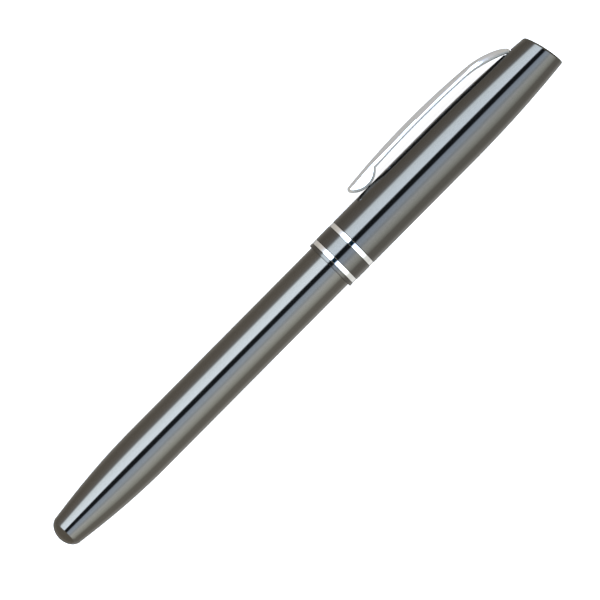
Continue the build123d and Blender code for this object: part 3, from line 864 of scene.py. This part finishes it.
PANELS = [
    (-180, (0.02, 0.02, 0.02)),
    (-166, (0.04, 0.04, 0.04)),
    (-158, (0.52, 0.50, 0.47)),
    (-104, (0.56, 0.52, 0.46)),
    (-78, (0.70, 0.66, 0.62)),
    (-63, (0.92, 0.96, 1.03)),
    (-57, (2.50, 2.90, 3.40)),
    (-53, (4.40, 5.15, 6.00)),
    (-38, (4.90, 5.80, 6.95)),
    (-17, (5.05, 6.00, 7.30)),
    (-12.5, (0.00, 0.01, 0.02)),
    (5, (0.00, 0.01, 0.02)),
    (10, (1.65, 2.05, 2.70)),
    (24, (1.95, 2.38, 3.05)),
    (34, (1.80, 2.08, 2.45)),
    (44, (2.40, 2.60, 2.80)),
    (60, (2.10, 2.26, 2.25)),
    (74, (1.50, 1.60, 1.55)),
    (84, (0.84, 0.84, 0.79)),
    (110, (0.76, 0.75, 0.70)),
    (136, (0.88, 0.87, 0.84)),
    (160, (0.62, 0.62, 0.60)),
    (168, (0.04, 0.04, 0.04)),
    (180, (0.02, 0.02, 0.02)),
]
END_WALL = (0.62, 0.58, 0.50)
END_WALL_SPAN = (0.50, 0.62)    # cosines to the pen's line between which the tent gives way to it
BACKDROP = (0.95, 0.95, 0.95)


def build_world():
    world = bpy.data.worlds.new("studio")
    bpy.context.scene.world = world
    world.use_nodes = True
    nodes, links = world.node_tree.nodes, world.node_tree.links
    nodes.clear()

    def maths(operation, a, b=None):
        node = nodes.new("ShaderNodeMath")
        node.operation = operation
        for socket, value in zip(node.inputs, (a, b)):
            if isinstance(value, (int, float)):
                socket.default_value = value
            elif value is not None:
                links.new(value, socket)
        return node.outputs["Value"]

    def along(direction):
        node = nodes.new("ShaderNodeVectorMath")
        node.operation = "DOT_PRODUCT"
        node.inputs[1].default_value = tuple(direction)
        links.new(coordinates.outputs["Generated"], node.inputs[0])
        return node.outputs["Value"]

    coordinates = nodes.new("ShaderNodeTexCoord")
    angle = maths("ARCTAN2", maths("MULTIPLY", along(CLIP), -1), along(SIDE))
    share = maths("ADD", maths("DIVIDE", angle, math.tau), 0.5)
    ramp = nodes.new("ShaderNodeValToRGB")
    links.new(share, ramp.inputs["Fac"])
    stops = ramp.color_ramp.elements
    while len(stops) < len(PANELS):
        stops.new(0.5)
    for stop, (degrees, light) in zip(stops, PANELS):
        stop.position = degrees / 360 + 0.5
        stop.color = (*light, 1)

    ends = nodes.new("ShaderNodeMapRange")
    ends.interpolation_type = "SMOOTHSTEP"
    ends.inputs["From Min"].default_value, ends.inputs["From Max"].default_value = END_WALL_SPAN
    links.new(maths("ABSOLUTE", along(ALONG)), ends.inputs["Value"])
    tent = nodes.new("ShaderNodeMix")
    tent.data_type = "RGBA"
    links.new(ends.outputs["Result"], tent.inputs["Factor"])
    links.new(ramp.outputs["Color"], tent.inputs["A"])
    tent.inputs["B"].default_value = (*END_WALL, 1)

    lit = nodes.new("ShaderNodeBackground")
    links.new(tent.outputs["Result"], lit.inputs["Color"])
    seen = nodes.new("ShaderNodeBackground")
    seen.inputs["Color"].default_value = (*BACKDROP, 1)
    path = nodes.new("ShaderNodeLightPath")
    mix = nodes.new("ShaderNodeMixShader")
    links.new(path.outputs["Is Camera Ray"], mix.inputs["Fac"])
    links.new(lit.outputs["Background"], mix.inputs[1])
    links.new(seen.outputs["Background"], mix.inputs[2])
    output = nodes.new("ShaderNodeOutputWorld")
    links.new(mix.outputs["Shader"], output.inputs["Surface"])


build_world()

# ---------------------------------------------------------------- camera
# Square to the clip's side, rolled so that the pen climbs to the right.

VIEW_CENTRE = (67.76, -0.55)
VIEW_WIDTH = 120.0          # millimetres across the frame
CLIMB = math.radians(45.22)
LENS, SENSOR = 200.0, 36.0
NEAREST, FARTHEST = 0.05, 10.0      # metres


def build_camera():
    data = bpy.data.cameras.new("camera")
    camera = new_object("camera", data)
    data.lens = LENS
    data.sensor_width = SENSOR
    data.clip_start, data.clip_end = NEAREST, FARTHEST
    position = place(*VIEW_CENTRE, VIEW_WIDTH * LENS / SENSOR)
    right = ALONG * math.cos(CLIMB) - CLIP * math.sin(CLIMB)
    up = ALONG * math.sin(CLIMB) + CLIP * math.cos(CLIMB)
    columns = [(*axis, 0) for axis in (right, up, SIDE)] + [(*position, 1)]
    camera.matrix_world = Matrix(columns).transposed()
    bpy.context.scene.camera = camera


build_camera()
bpy.context.scene.view_settings.view_transform = "Standard"
